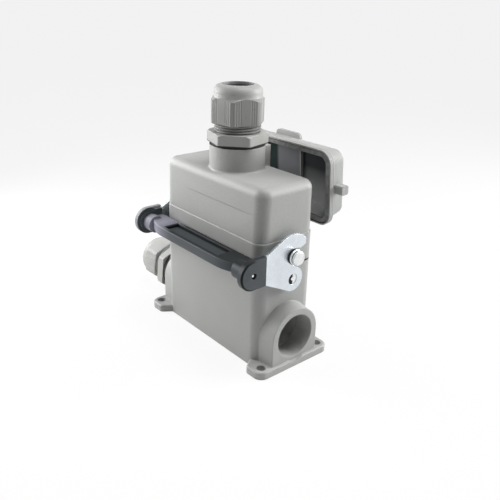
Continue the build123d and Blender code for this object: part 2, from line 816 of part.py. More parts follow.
def make_cover_shell():
    """The cover shut on the base: rim with a seal step, drafted walls, roof pad, pegs, tab and arms."""
    arms = make_cover_arms()
    peg = make_cover_peg()
    with BuildPart() as shell:
        with BuildSketch(Plane.XY.offset(hood_bottom)):
            RectangleRounded(cover_length, cover_width, cover_corner_radius)
        extrude(amount=cover_rim_depth)
        with BuildSketch(Plane.XY.offset(hood_bottom + cover_rim_depth)):
            with Locations((0, -cover_hinge_step / 2)):
                RectangleRounded(cover_shell_length, cover_shell_width, cover_corner_radius - cover_rim_step)
        extrude(amount=cover_depth - cover_rim_depth, taper=cover_draft)
        fillet(shell.faces().sort_by(Axis.Z)[-1].edges(), cover_back_radius)
        with BuildSketch(Plane.XY.offset(cover_top)):
            with Locations((0, -cover_width / 2 - tab_reach)):
                Rectangle(tab_width, cover_width / 4, align=(Align.CENTER, Align.MIN))
            fillet(vertices().group_by(Axis.Y)[0], tab_corner_radius)
        extrude(amount=-tab_thickness)
        add(arms)
        add(peg)
        add(peg.mirror(Plane.YZ))
        with BuildSketch(Plane.XY.offset(hood_bottom)):
            make_cover_step(0)
        extrude(amount=cover_step_depth, mode=Mode.SUBTRACT)
        with BuildSketch(Plane.XY.offset(hood_bottom)):
            make_cover_mouth()
        extrude(amount=cover_roof_inside - hood_bottom, taper=cover_draft, mode=Mode.SUBTRACT)
        with BuildSketch(Plane.XY.offset(cover_roof_inside)):
            Rectangle(cover_pad_length, pocket_width - cover_pad_margin)
        extrude(amount=-cover_pad_rise)
    return shell.part


def make_cover_step(gap):
    """Outline of the step in the cover's rim that holds the seal, made smaller by a gap."""
    wall = cover_lip + gap
    RectangleRounded(cover_length - 2 * wall, cover_width - 2 * wall, cover_corner_radius - wall)


def make_cover_mouth():
    """The cover's opening. It passes over the base's collar with the gap that the hood has there."""
    RectangleRounded(pocket_length, pocket_width, pocket_radius)


def make_cover_peg():
    """Square peg with softened corners on the cover's right end. The lever's hook takes it when shut."""
    root = cover_length / 2 - cover_rim_depth
    with BuildPart() as peg:
        with BuildSketch(Plane.YZ.offset(root)):
            with Locations((0, peg_height)):
                RectangleRounded(cover_peg_size, cover_peg_size, cover_peg_size / 5)
        extrude(amount=cover_length / 2 + cover_peg_length - root)
    return peg.part


def make_cover_arms():
    """Two arms from the hinge pin to the cover's near wall, with the cover shut."""
    wall_face = cover_width / 2 - cover_rim_step - cover_hinge_step
    with BuildPart() as arms:
        with BuildSketch(Plane.YZ.offset(arm_spacing / 2 - arm_width / 2)):
            with Locations((hinge_y, hinge_height)):
                Circle(knuckle_radius)
            with Locations((wall_face - cover_rim_step, hood_bottom + cover_rim_depth)):
                Rectangle(cover_rim_step, cover_depth / 2, align=(Align.MAX, Align.MIN))
            make_hull()
        extrude(amount=arm_width)
        mirror(about=Plane.YZ)
    return arms.part


def make_cover_heels():
    """The arms' heels, with the cover open: they rest on the base's rear wall a small gap away."""
    heel_y = half_width + heel_gap
    with BuildPart() as heels:
        with BuildSketch(Plane.YZ.offset(arm_spacing / 2 - arm_width / 2)):
            with BuildLine():
                Polyline(
                    (heel_y, lug_foot_top),
                    (heel_y, lug_foot_top + heel_thickness),
                    (hinge_y - knuckle_radius / 2, hinge_height),
                    (hinge_y, hinge_height - knuckle_radius / 2),
                    close=True,
                )
            make_face()
        extrude(amount=arm_width)
        mirror(about=Plane.YZ)
    return heels.part


def make_cover_gasket():
    """Rubber seal that lies in the step inside the cover's rim."""
    with BuildPart() as gasket:
        with BuildSketch(Plane.XY.offset(hood_bottom + cover_step_depth)):
            make_cover_step(gasket_clearance)
        extrude(amount=-gasket_thickness)
        with BuildSketch(Plane.XY.offset(hood_bottom)):
            make_cover_mouth()
        extrude(amount=cover_step_depth, mode=Mode.SUBTRACT)
    return turned_open(gasket.part)


def make_hinge_pin():
    """Steel pin pressed into the two lugs. The cover's arms turn on it."""
    pin_length = lug_spacing + lug_width
    with BuildPart() as pin:
        with Locations((0, hinge_y, hinge_height)):
            Cylinder(hinge_pin_radius, pin_length, rotation=(0, 90, 0))
    return pin.part


def at_top_entry(piece):
    """A gland piece on the hood's boss, with its threaded end down."""
    return Pos(0, 0, top_boss_top) * piece


def at_end_entry(piece):
    """A gland piece on the base's left boss, lying along -X."""
    return Pos(-entry_boss_reach, 0, entry_height) * Rot(0, -90, 0) * piece


def make_washer(thickness):
    """Flat rubber ring between the boss and the gland's hexagon."""
    with BuildPart() as washer:
        Cylinder(washer_radius, thickness, align=(Align.CENTER, Align.CENTER, Align.MIN))
        Hole(entry_bore_radius)
    return washer.part


def make_hexagon(flats, height, corner_radius, corner_bevel, turn):
    """Hexagonal prism whose corners are turned off at the given radius and bevelled at the top."""
    with BuildPart() as hexagon:
        Cylinder(corner_radius, height, align=(Align.CENTER, Align.CENTER, Align.MIN))
        chamfer(hexagon.faces().sort_by(Axis.Z)[-1].edges(), corner_bevel)
        with BuildSketch():
            RegularPolygon(flats / 2, 6, major_radius=False, rotation=turn)
        extrude(amount=height, mode=Mode.INTERSECT)
    return hexagon.part


def make_gland_body(seat, turn):
    """Gland body that starts on a washer of the given thickness: thread, hexagon, neck and clamping claws."""
    hex_top = seat + gland_hex_height
    claw_foot = hex_top + gland_neck_height + gland_claw_height
    claw_length = gland_nut_hex_height - gland_claw_height
    hexagon = make_hexagon(gland_hex_flats, gland_hex_height, gland_hex_corner_radius, gland_corner_bevel, turn)
    with BuildPart() as body:
        with Locations((0, 0, seat)):
            Cylinder(
                entry_bore_radius - gland_thread_clearance,
                gland_thread_length + seat,
                align=(Align.CENTER, Align.CENTER, Align.MAX),
            )
            add(hexagon)
        with BuildSketch(Plane.XY.offset(hex_top)):
            Circle(gland_neck_radius)
        extrude(amount=claw_foot - hex_top)
        with BuildSketch(Plane.XY.offset(claw_foot)):
            Circle(gland_neck_radius)
            Circle(gland_neck_radius - gland_claw_wall, mode=Mode.SUBTRACT)
            with PolarLocations(0, gland_claw_slots):
                Rectangle(2 * gland_neck_radius, gland_claw_slot, mode=Mode.SUBTRACT)
        extrude(amount=claw_length)
        with Locations((0, 0, claw_foot)):
            Hole(gland_bore_radius, depth=claw_foot + gland_thread_length)
    return body.part


def make_gland_nut(seat, turn):
    """Domed gland nut: six flats with a cone above their corners, then the dome and its round mouth."""
    foot = seat + gland_hex_height + gland_neck_height
    shoulder = foot + gland_nut_hex_height
    top = foot + gland_nut_height
    inside = gland_neck_radius + running_clearance
    dome_mid = gland_dome_radius - gland_dome_corner * (1 - math.sqrt(0.5))
    with BuildPart() as nut:
        with BuildSketch(Plane.XZ):
            with BuildLine():
                Polyline(
                    (inside, foot),
                    (gland_nut_corner_radius, foot),
                    (gland_nut_corner_radius, shoulder),
                    (gland_dome_radius, shoulder + gland_cone_rise),
                    (gland_dome_radius, top - gland_dome_corner),
                )
                ThreePointArc(
                    (gland_dome_radius, top - gland_dome_corner),
                    (dome_mid, top - gland_dome_corner * (1 - math.sqrt(0.5))),
                    (gland_dome_radius - gland_dome_corner, top),
                )
                Polyline(
                    (gland_dome_radius - gland_dome_corner, top),
                    (gland_mouth_radius, top),
                    (gland_mouth_radius, top - gland_mouth_length),
                    (inside, shoulder + gland_cone_rise),
                    (inside, foot),
                )
            make_face()
        revolve(axis=Axis.Z)
        with BuildSketch(Plane.XY.offset(foot)):
            RegularPolygon(gland_nut_flats / 2, 6, major_radius=False, rotation=turn)
        extrude(amount=gland_nut_height, mode=Mode.INTERSECT)
    return nut.part


def make_gland_seal(seat):
    """Rubber ring inside the claws that grips the cable."""
    foot = seat + gland_hex_height + gland_neck_height + gland_claw_height
    with BuildPart() as seal:
        with BuildSketch(Plane.XY.offset(foot)):
            Circle(gland_neck_radius - gland_claw_wall - gland_seal_gap)
            Circle(gland_bore_radius - gland_seal_grip, mode=Mode.SUBTRACT)
        extrude(amount=gland_seal_length)
    return seal.part


save(make_base_housing(), "base_housing")
save(make_hood_housing(), "hood_housing")
save(make_rim_seal(), "rim_seal")
save(make_female_insert(), "female_insert")
save(make_female_contacts(), "female_contacts")
save(make_insert_screws(female_flange_top, -1), "female_insert_screws")
save(make_earth_clips(female_flange_top, 1, female_blade_x, earth_blade_length), "female_earth_clips")
save(make_male_insert(), "male_insert")
save(make_male_contacts(), "male_contacts")
save(make_insert_screws(male_flange_bottom, 1), "male_insert_screws")
save(make_earth_clips(male_flange_bottom, -1, male_blade_x, earth_blade_length), "male_earth_clips")
save(make_hood_pegs(), "hood_pegs")
save(make_lever_studs(), "lever_pivot_studs")
save(make_lever_handle(), "lever_handle")
for side_name, side_sign in ends:
    save(make_lever_plate(side_sign), f"lever_plate_{side_name}")
save(make_lever_rivets(), "lever_rivets")
save(make_protective_cover(), "protective_cover")
save(make_cover_gasket(), "cover_gasket")
save(make_hinge_pin(), "cover_hinge_pin")
save(at_top_entry(make_washer(top_washer_thickness)), "top_gland_washer")
save(at_top_entry(make_gland_body(top_washer_thickness, top_gland_turn)), "top_gland_body")
save(at_top_entry(make_gland_seal(top_washer_thickness)), "top_gland_seal")
save(at_top_entry(make_gland_nut(top_washer_thickness, top_nut_turn)), "top_gland_nut")
save(at_end_entry(make_washer(end_washer_thickness)), "end_gland_washer")
save(at_end_entry(make_gland_body(end_washer_thickness, end_gland_turn)), "end_gland_body")
save(at_end_entry(make_gland_seal(end_washer_thickness)), "end_gland_seal")
save(at_end_entry(make_gland_nut(end_washer_thickness, end_nut_turn)), "end_gland_nut")
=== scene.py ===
"""Looks of the heavy duty rectangular connector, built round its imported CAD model.

Metres, in the model's own frame: X along the connector, -Y to the lever's bar, Z up from the mounting face.
"""
import math

import bpy
from mathutils import Matrix, Vector


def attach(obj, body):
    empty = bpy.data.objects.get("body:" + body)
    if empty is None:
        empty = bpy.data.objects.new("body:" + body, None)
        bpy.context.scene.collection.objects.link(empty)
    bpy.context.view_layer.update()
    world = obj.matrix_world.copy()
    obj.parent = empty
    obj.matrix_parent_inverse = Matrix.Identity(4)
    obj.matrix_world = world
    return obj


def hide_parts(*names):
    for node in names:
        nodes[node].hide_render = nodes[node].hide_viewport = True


MM = 0.001

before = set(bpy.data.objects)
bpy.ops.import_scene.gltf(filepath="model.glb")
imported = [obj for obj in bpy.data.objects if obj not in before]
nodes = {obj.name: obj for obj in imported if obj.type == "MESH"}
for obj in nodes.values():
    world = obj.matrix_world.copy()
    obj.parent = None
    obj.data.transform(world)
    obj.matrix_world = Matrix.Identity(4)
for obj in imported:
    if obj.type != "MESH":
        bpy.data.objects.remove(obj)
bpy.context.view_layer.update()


# Materials. Colours are linear; textures use object coordinates, which are metres for every piece.

NOISE_SPREAD = (0.3, 0.7)


def tone(colour, factor):
    return tuple(channel * factor for channel in colour)


class Shader:
    """One material's node tree, with short names for the nodes that the materials below share."""

    def __init__(self, name, roughness, metallic=0.0, specular=0.5):
        self.material = bpy.data.materials.new(name)
        self.material.use_nodes = True
        self.tree = self.material.node_tree
        self.surface = self.tree.nodes["Principled BSDF"]
        self.surface.inputs["Roughness"].default_value = roughness
        self.surface.inputs["Metallic"].default_value = metallic
        self.surface.inputs["Specular IOR Level"].default_value = specular
        self.place = self.tree.nodes.new("ShaderNodeTexCoord").outputs["Object"]

    def node(self, kind, **values):
        made = self.tree.nodes.new(kind)
        for key, value in values.items():
            setattr(made, key, value)
        return made

    def link(self, source, target):
        self.tree.links.new(source, target)

    def feed(self, socket, source):
        """Link a socket to its source, or set it to a plain number or colour."""
        if isinstance(source, bpy.types.NodeSocket):
            self.link(source, socket)
        elif isinstance(source, tuple):
            socket.default_value = (*source, 1)
        else:
            socket.default_value = source

    def noise(self, scale, detail=2.0, stretch=(1, 1, 1)):
        """Noise value from 0 to 1; scale is in features per metre."""
        mapping = self.node("ShaderNodeMapping")
        mapping.inputs["Scale"].default_value = stretch
        self.link(self.place, mapping.inputs["Vector"])
        made = self.node("ShaderNodeTexNoise")
        made.inputs["Scale"].default_value = scale
        made.inputs["Detail"].default_value = detail
        self.link(mapping.outputs["Vector"], made.inputs["Vector"])
        return made.outputs["Fac"]

    def ramp(self, source, low, high):
        """Colour between low and high over the span that most noise values lie in."""
        made = self.node("ShaderNodeValToRGB")
        first, last = made.color_ramp.elements
        first.position, last.position = NOISE_SPREAD
        first.color, last.color = (*low, 1), (*high, 1)
        self.link(source, made.inputs["Fac"])
        return made.outputs["Color"]

    def remap(self, source, low, high):
        """A value from 0 to 1, spread between low and high."""
        made = self.node("ShaderNodeMapRange")
        made.inputs["To Min"].default_value = low
        made.inputs["To Max"].default_value = high
        self.link(source, made.inputs["Value"])
        return made.outputs["Result"]

    def mix(self, factor, first, second):
        """Colour between the first and the second, each of them a socket or a plain colour."""
        made = self.node("ShaderNodeMix", data_type="RGBA")
        self.feed(made.inputs["Factor"], factor)
        self.feed(made.inputs["A"], first)
        self.feed(made.inputs["B"], second)
        return made.outputs["Result"]

    def flow_marks(self, colour):
        """A moulded part's colour, with faint flow marks along Z."""
        flow = self.noise(60.0, 3.0, (1, 1, 0.4))
        return self.ramp(flow, tone(colour, 0.95), tone(colour, 1.05))

    def bumps(self, *layers, rounding):
        """Stack bump layers of (height source, distance in metres) on edges rounded in shading."""
        bevel = self.node("ShaderNodeBevel", samples=6)
        bevel.inputs["Radius"].default_value = rounding
        normal = bevel.outputs["Normal"]
        for source, distance in layers:
            made = self.node("ShaderNodeBump")
            made.inputs["Strength"].default_value = 1.0
            made.inputs["Distance"].default_value = distance
            self.link(source, made.inputs["Height"])
            self.link(normal, made.inputs["Normal"])
            normal = made.outputs["Normal"]
        self.link(normal, self.surface.inputs["Normal"])

    def value(self, operation, first, second=0.0):
        made = self.node("ShaderNodeMath", operation=operation)
        for socket, source in zip(made.inputs, (first, second)):
            self.feed(socket, source)
        return made.outputs["Value"]

    def parts(self, vector):
        """The three components of a vector."""
        made = self.node("ShaderNodeSeparateXYZ")
        self.link(vector, made.inputs["Vector"])
        return made.outputs["X"], made.outputs["Y"], made.outputs["Z"]

    def slope(self, source, fade):
        """0 before the fade's start, 1 past its end and straight in between; the end may lie below the start."""
        made = self.node("ShaderNodeMapRange")
        made.inputs["From Min"].default_value, made.inputs["From Max"].default_value = fade
        self.link(source, made.inputs["Value"])
        return made.outputs["Result"]

    def fades(self, *pairs):
        """1 where every pair of (source, fade) is past its fade, 0 where one of them isn't in it yet."""
        whole, *others = (self.slope(source, fade) for source, fade in pairs)
        for mask in others:
            whole = self.value("MULTIPLY", whole, mask)
        return whole

    def turned(self, pivot, angle):
        """The object's coordinates turned about a line along X through the pivot, in degrees."""
        turn = Matrix.Rotation(math.radians(angle), 3, "X")
        mapping = self.node("ShaderNodeMapping")
        mapping.inputs["Rotation"].default_value = (math.radians(angle), 0, 0)
        mapping.inputs["Location"].default_value = Vector(pivot) - turn @ Vector(pivot)
        self.link(self.place, mapping.inputs["Vector"])
        return mapping.outputs["Vector"]

    def distance(self, first, second):
        """Distance from the origin of the plane that two components span."""
        squares = self.value("ADD", self.value("MULTIPLY", first, first), self.value("MULTIPLY", second, second))
        return self.value("SQRT", squares)

    def past_outline(self, x, y, half_x, half_y, corner):
        """Distance outside a rectangle with rounded corners about the origin, negative inside it."""
        over_x = self.value("SUBTRACT", self.value("ABSOLUTE", x), half_x - corner)
        over_y = self.value("SUBTRACT", self.value("ABSOLUTE", y), half_y - corner)
        reach = self.distance(self.value("MAXIMUM", over_x), self.value("MAXIMUM", over_y))
        return self.value("SUBTRACT", reach, corner)

    def colour(self, source):
        self.link(source, self.surface.inputs["Base Color"])

    def roughness(self, source):
        self.link(source, self.surface.inputs["Roughness"])


# Where colours change, in metres. A fade is a pair: where it starts and where it is whole. An outline is half a
# length, half a width and a corner radius. The cover's values belong to the shut cover, and its angle is in degrees.

# black for painted shadow gaps: on the boss under the upper gland and along the upper hexagon's foot
SHADOW_GAP_BLACK = (0.012, 0.012, 0.012)
ENTRY_AXIS_HEIGHT = 0.0193

WIRING_SPACE = ((0.0430, 0.0428), (0.0178, 0.0176), (0.0590, 0.0580))
ENTRY_BORE = (0.0128, 0.0126)
ENTRY_START = (0.0440, 0.0450)
LEDGE_BOTTOM = (0.0769, 0.0772)
LEDGE_TOP = (0.0784, 0.0780)
GLAND_SEAT = (0.12180, 0.12195)

NECK_SKIN = (0.0132, 0.0130)
TOP_NECK_START = (0.1291, 0.1293)
END_NECK_START = (-0.0676, -0.0678)
HEXAGON_FOOT = ((0.1195, 0.1200), (0.12355, 0.12345))

HINGE = (0, 0.0353, 0.0646)
COVER_OPEN_ANGLE = 85.5
COVER_STEP_PITCH = 0.0012
COVER_MOUTH = (0.04405, 0.01885, 0.00425)
COVER_MOUTH_HEIGHT = 0.0612
COVER_WALL_SLOPE = 0.1405
COVER_WALL = (0.0003, 0.0001)
COVER_ROOF = (0.0741, 0.0739)
COVER_SEAT = (0.0472, 0.0217, 0.0070)
COVER_SEAT_WALL = (0.0002, 0.0001)
COVER_SEAT_ROOF = (0.0638, 0.0637)
PAD_HALF_LENGTH = (0.0140, 0.0138)
PAD_HALF_WIDTH = (0.0160, 0.0158)
PAD_SHADE_END = (-0.0078, -0.0058)
PAD_EDGE = (0.0126, 0.0130)
RECESS_LOWER_PART = (-0.006, 0.017)
RECESS_RIGHT_PART = (-0.010, 0.018)
RECESS_END_WALL = (0.034, 0.043)

FACING_UP = (0.5, 0.85)
SHEEN_FADE_RIGHT = (-0.018, -0.033)
SHEEN_FADE_LEFT = (-0.0480, -0.0455)
MATT_TOP = (-0.033, -0.018)
CHANNEL_HALF_LENGTH = (0.0271, 0.0270)
CHANNEL_TOP = (0.0692, 0.0684)
CHANNEL_FRONT = (-0.0348, -0.0347)
CHANNEL_REAR = (-0.0246, -0.0247)
CHANNEL_REAR_SHADE = (-0.0264, -0.0258)
CHANNEL_LEFT_SHADE = (-0.0256, -0.0262)
DRUM_AXIS = (-0.0313, 0.0659)
DRUM_GROOVE = (0.0076, 0.0078)
DRUM_GROOVE_START = (0.0530, 0.0532)
DRUM_FRONT = (-0.0295, -0.0315)
RIGHT_DRUM = (0.0, 0.001)
DRUM_RIM_HIGHLIGHT = (0.0083, 0.0085)
LEFT_DRUM = (-0.0490, -0.0500)

PIN_FADE = 0.0002
FRONT_HALF = (0.0006, -0.0002)


def coated_metal(name, colour):
    """Grey powder coat on a casting: fine orange peel, slight blotches and a soft satin gloss.

    The coat is darker along the hood's ledge and inside the open entry, as painted shade. The wiring space inside
    the base is left as bare cast metal in a light tone that stands in for light reaching it (painted light), and the
    seat of the upper gland is black as painted shadow.
    """
    shader = Shader(name, 0.5)
    speck = shader.noise(1500.0, 2.0)
    blotched = shader.ramp(shader.noise(38.0, 4.0), tone(colour, 0.95), tone(colour, 1.04))
    speckled = shader.mix(0.35, blotched, shader.ramp(speck, tone(colour, 0.86), tone(colour, 1.12)))
    x, y, z = shader.parts(shader.place)
    # painted shade: a darker band along the hood's ledge, where the step throws shadow
    ledge = shader.fades((z, LEDGE_BOTTOM), (z, LEDGE_TOP))
    coat = shader.mix(ledge, speckled, tone(colour, 0.72))
    # painted shade: the coat is darker inside the open entry's bore
    from_entry_axis = shader.distance(y, shader.value("SUBTRACT", z, ENTRY_AXIS_HEIGHT))
    entry = shader.fades((from_entry_axis, ENTRY_BORE), (x, ENTRY_START))
    coat = shader.mix(entry, coat, tone(colour, 0.55))
    # bare cast metal inside the wiring space, in a light tone that also stands in for light reaching the cavity
    # (painted light)
    inside = shader.fades(*zip((shader.value("ABSOLUTE", x), shader.value("ABSOLUTE", y), z), WIRING_SPACE))
    cast = shader.mix(inside, coat, (0.82, 0.82, 0.80))
    # painted shadow: the gland's seat on the boss is black
    shader.colour(shader.mix(shader.fades((z, GLAND_SEAT)), cast, SHADOW_GAP_BLACK))
    shader.roughness(shader.remap(shader.noise(300.0, 3.0), 0.40, 0.58))
    shader.bumps((shader.noise(900.0, 3.0), 0.00007), (speck, 0.00003), rounding=0.0008)
    return shader.material


def moulded(name, colour, roughness):
    """Moulded plastic with a fine spark-eroded grain and faint flow marks."""
    shader = Shader(name, roughness)
    shader.colour(shader.flow_marks(colour))
    shader.roughness(shader.remap(shader.noise(700.0, 2.0), roughness - 0.07, roughness + 0.07))
    shader.bumps((shader.noise(2200.0, 2.0), 0.00003), rounding=0.0003)
    return shader.material


def gland_plastic(name, colour):
    """The glands' moulded grey, with painted shade in the roots of the neck threads and painted black shadow along
    the upper hexagon's foot.
    """
    shader = Shader(name, 0.40)
    x, y, z = shader.parts(shader.place)
    from_entry_axis = shader.distance(y, shader.value("SUBTRACT", z, ENTRY_AXIS_HEIGHT))
    top_neck = shader.fades((shader.distance(x, y), NECK_SKIN), (z, TOP_NECK_START))
    end_neck = shader.fades((from_entry_axis, NECK_SKIN), (x, END_NECK_START))
    # painted shade: the neck's skin between the thread ridges is near black on both glands
    roots = shader.value("MAXIMUM", top_neck, end_neck)
    rooted = shader.mix(roots, shader.flow_marks(colour), (0.060, 0.061, 0.060))
    # painted shadow: black along the foot of the upper gland's hexagon
    foot = shader.fades(*((z, fade) for fade in HEXAGON_FOOT))
    shader.colour(shader.mix(foot, rooted, SHADOW_GAP_BLACK))
    shader.roughness(shader.remap(shader.noise(700.0, 2.0), 0.33, 0.47))
    shader.bumps((shader.noise(2200.0, 2.0), 0.00003), rounding=0.0003)
    return shader.material


def cover_plastic(name, colour):
    """The protective cover: moulded grey with fine steps round its walls, and an inside darkened by painted shade,
    with a lighter pad, painted shadow and highlight on the pad and a painted shadow line in the gasket seat.
    """
    shader = Shader(name, 0.45, specular=0.3)
    x, y, z = shader.parts(shader.turned(HINGE, COVER_OPEN_ANGLE))
    rise = shader.value("SUBTRACT", z, COVER_MOUTH_HEIGHT)
    taper = shader.value("MULTIPLY", rise, COVER_WALL_SLOPE)
    from_mouth = shader.value("ADD", shader.past_outline(x, y, *COVER_MOUTH), taper)
    inside = shader.fades((from_mouth, COVER_WALL), (z, COVER_ROOF))
    # painted shadow: a dark line in the gasket seat round the cover's lip
    from_seat = shader.past_outline(x, y, *COVER_SEAT)
    seat = shader.fades((from_seat, COVER_SEAT_WALL), (z, COVER_SEAT_ROOF), (inside, (0.5, 0.4)))

    # painted shade inside the cover: near black towards -X and at low Y, lighter towards +X and +Y and on the end
    # wall at +X
    lower = shader.fades((y, RECESS_LOWER_PART))
    recess = shader.mix(lower, (0.040, 0.046, 0.048), (0.62, 0.63, 0.62))
    recess = shader.mix(shader.fades((x, RECESS_RIGHT_PART)), (0.012, 0.015, 0.015), recess)
    recess = shader.mix(shader.fades((x, RECESS_END_WALL)), recess, (0.24, 0.26, 0.26))
    on_pad = shader.fades(
        (shader.value("ABSOLUTE", x), PAD_HALF_LENGTH),
        (shader.value("ABSOLUTE", y), PAD_HALF_WIDTH),
    )
    # the pad's grey is painted shade, with painted shadow towards -X and a painted highlight along its +X edge
    pad = shader.mix(shader.fades((x, PAD_SHADE_END)), (0.010, 0.022, 0.022), (0.165, 0.168, 0.175))
    pad = shader.mix(shader.fades((x, PAD_EDGE)), pad, (0.34, 0.34, 0.34))
    walls = shader.mix(inside, shader.flow_marks(colour), shader.mix(on_pad, recess, pad))
    shader.colour(shader.mix(seat, walls, (0.03, 0.032, 0.031)))

    gloss = shader.remap(shader.noise(700.0, 2.0), 0.38, 0.52)
    shader.roughness(shader.value("MAXIMUM", gloss, shader.value("MULTIPLY", inside, 0.9)))
    steps = shader.value("SINE", shader.value("MULTIPLY", z, 2 * math.pi / COVER_STEP_PITCH))
    shader.bumps((steps, 0.00009), (shader.noise(2200.0, 2.0), 0.00003), rounding=0.0003)
    return shader.material


def lever_plastic(name):
    """Slate-black plastic, with painted shade on faces that point up and in the channel, a painted lilac sheen at
    its left end, a painted shade crescent on the right drum and a painted highlight round the left drum's rim.
    """
    shader = Shader(name, 0.42, specular=0.15)
    flow = shader.noise(70.0, 3.0, (0.3, 1, 1))
    slate = shader.ramp(flow, (0.068, 0.076, 0.083), (0.090, 0.098, 0.106))
    x, y, z = shader.parts(shader.place)
    length = shader.value("ABSOLUTE", x)
    normal = shader.node("ShaderNodeTexCoord").outputs["Normal"]
    upward = shader.fades((shader.parts(normal)[2], FACING_UP))
    # painted shade: faces that point up are near black
    top_shaded = shader.mix(shader.value("MULTIPLY", upward, 0.85), slate, (0.012, 0.014, 0.015))
    # painted sheen: a lilac reflection of the left lamp, fading in towards the lever's left end
    left_sheen = shader.fades((x, SHEEN_FADE_RIGHT), (x, SHEEN_FADE_LEFT))
    sheened = shader.mix(shader.value("MULTIPLY", left_sheen, 0.85), top_shaded, (0.265, 0.265, 0.320))

    # painted shade in the channel: its floor is darker, near black by the rear wall and the left end
    channel = shader.fades((length, CHANNEL_HALF_LENGTH), (z, CHANNEL_TOP), (y, CHANNEL_FRONT), (y, CHANNEL_REAR))
    deep = shader.value("MAXIMUM", shader.fades((y, CHANNEL_REAR_SHADE)), shader.fades((x, CHANNEL_LEFT_SHADE)))
    floor = shader.mix(deep, (0.048, 0.056, 0.060), (0.006, 0.007, 0.008))
    carved = shader.mix(channel, sheened, floor)

    off_y = shader.value("SUBTRACT", y, DRUM_AXIS[0])
    off_z = shader.value("SUBTRACT", z, DRUM_AXIS[1])
    from_drum = shader.distance(off_y, off_z)
    # painted shade: a near-black crescent round the front half of the right drum's outer face
    drum_groove_shade = shader.fades((from_drum, DRUM_GROOVE), (length, DRUM_GROOVE_START), (y, DRUM_FRONT), (x, RIGHT_DRUM))
    groove_shaded = shader.mix(drum_groove_shade, carved, (0.008, 0.009, 0.010))
    # painted highlight: a light rim round the left drum's outer face
    rim_highlight = shader.fades((from_drum, DRUM_RIM_HIGHLIGHT), (x, LEFT_DRUM))
    shader.colour(shader.mix(rim_highlight, groove_shaded, (0.27, 0.28, 0.29)))

    gloss = shader.remap(shader.noise(800.0, 2.0), 0.36, 0.50)
    top = shader.value("MULTIPLY", upward, shader.fades((x, MATT_TOP)))
    matt = shader.value("MAXIMUM", top, channel)
    shader.roughness(shader.value("MAXIMUM", gloss, shader.value("MULTIPLY", matt, 0.9)))
    shader.bumps((shader.noise(1800.0, 2.0), 0.00003), rounding=0.0004)
    return shader.material


def plated_steel(name):
    """Bright zinc plate: faint rolling lines, small tarnish clouds and a crisp but broken gloss."""
    colour = (0.70, 0.745, 0.785)
    rolled = (1, 1, 6)
    shader = Shader(name, 0.26, metallic=1.0)
    shader.colour(shader.ramp(shader.noise(120.0, 4.0), tone(colour, 0.93), tone(colour, 1.06)))
    shader.roughness(shader.remap(shader.noise(900.0, 3.0, rolled), 0.18, 0.38))
    shader.bumps((shader.noise(1600.0, 2.0, rolled), 0.000015), rounding=0.0002)
    return shader.material


def turned_steel(name, dark_rings=(), centre=(0.0, 0.0), glint_spot=None, shade_rim=None):
    """Turned and plated pins along X: dark rings round them painted for reflections and shade, and painted shade on
    the end face round an unshaded glint spot.

    Rings are spans of distance from the part's middle. A glint spot is the radius of the unshaded middle about
    the centre (Y, Z), left light as a painted glint; a shade rim is a radius past which the front half is painted
    shade.
    """
    shader = Shader(name, 0.22, metallic=1.0)
    x, y, z = shader.parts(shader.place)
    away = shader.value("ABSOLUTE", x)
    off_y = shader.value("SUBTRACT", y, centre[0])
    off_z = shader.value("SUBTRACT", z, centre[1])
    radius = shader.distance(off_y, off_z)
    tint = shader.ramp(shader.noise(260.0, 3.0), (0.70, 0.72, 0.73), (0.86, 0.87, 0.86))
    # painted dark rings standing in for reflections and shade
    for start, end in dark_rings:
        ring = shader.fades((away, (start, start + PIN_FADE)), (away, (end, end - PIN_FADE)))
        tint = shader.mix(ring, tint, (0.055, 0.060, 0.062))
    # painted shade on the end face round the glint spot
    if glint_spot:
        outer = shader.fades((radius, (glint_spot, glint_spot + PIN_FADE)))
        tint = shader.mix(outer, tint, (0.012, 0.013, 0.014))
    # painted shade: a dark crescent on the front half of the end face
    if shade_rim:
        front = shader.fades((radius, (shade_rim, shade_rim + PIN_FADE)), (off_y, FRONT_HALF))
        tint = shader.mix(front, tint, (0.020, 0.024, 0.026))
    shader.colour(tint)
    shader.roughness(shader.remap(shader.noise(900.0, 2.0), 0.16, 0.32))
    shader.bumps((shader.noise(1600.0, 2.0, (6, 1, 1)), 0.00001), rounding=0.0003)
    return shader.material


def rubber(name, colour):
    """Dull rubber with a fine mould grain."""
    shader = Shader(name, 0.62, specular=0.35)
    shader.colour(shader.ramp(shader.noise(400.0, 3.0), tone(colour, 0.8), tone(colour, 1.3)))
    shader.roughness(shader.remap(shader.noise(900.0, 2.0), 0.52, 0.74))
    shader.bumps((shader.noise(1500.0, 2.0), 0.00003), rounding=0.0002)
    return shader.material


def silvered(name):
    """Silver-plated contact metal, slightly yellow where it has aged."""
    shader = Shader(name, 0.24, metallic=1.0)
    shader.colour(shader.ramp(shader.noise(500.0, 4.0), (0.60, 0.55, 0.45), (0.80, 0.77, 0.70)))
    shader.roughness(shader.remap(shader.noise(1200.0, 2.0), 0.18, 0.34))
    shader.bumps((shader.noise(2500.0, 2.0, (1, 1, 0.1)), 0.00001), rounding=0.0001)
    return shader.material


HOUSING = coated_metal("housing_coat", (0.370, 0.376, 0.364))
GLAND = gland_plastic("gland_plastic", (0.375, 0.380, 0.362))
NUT = moulded("nut_plastic", (0.275, 0.277, 0.267), 0.30)
# a darker copy of the glands' grey: painted shade on the neck threads
THREAD_SHADED = moulded("thread_plastic_shaded", (0.270, 0.273, 0.263), 0.40)
# a lighter copy of the nut's grey: painted light on the upper nut's dome and on all of the end nut
DOME_LIT = moulded("dome_plastic_lit", (0.345, 0.349, 0.337), 0.50)
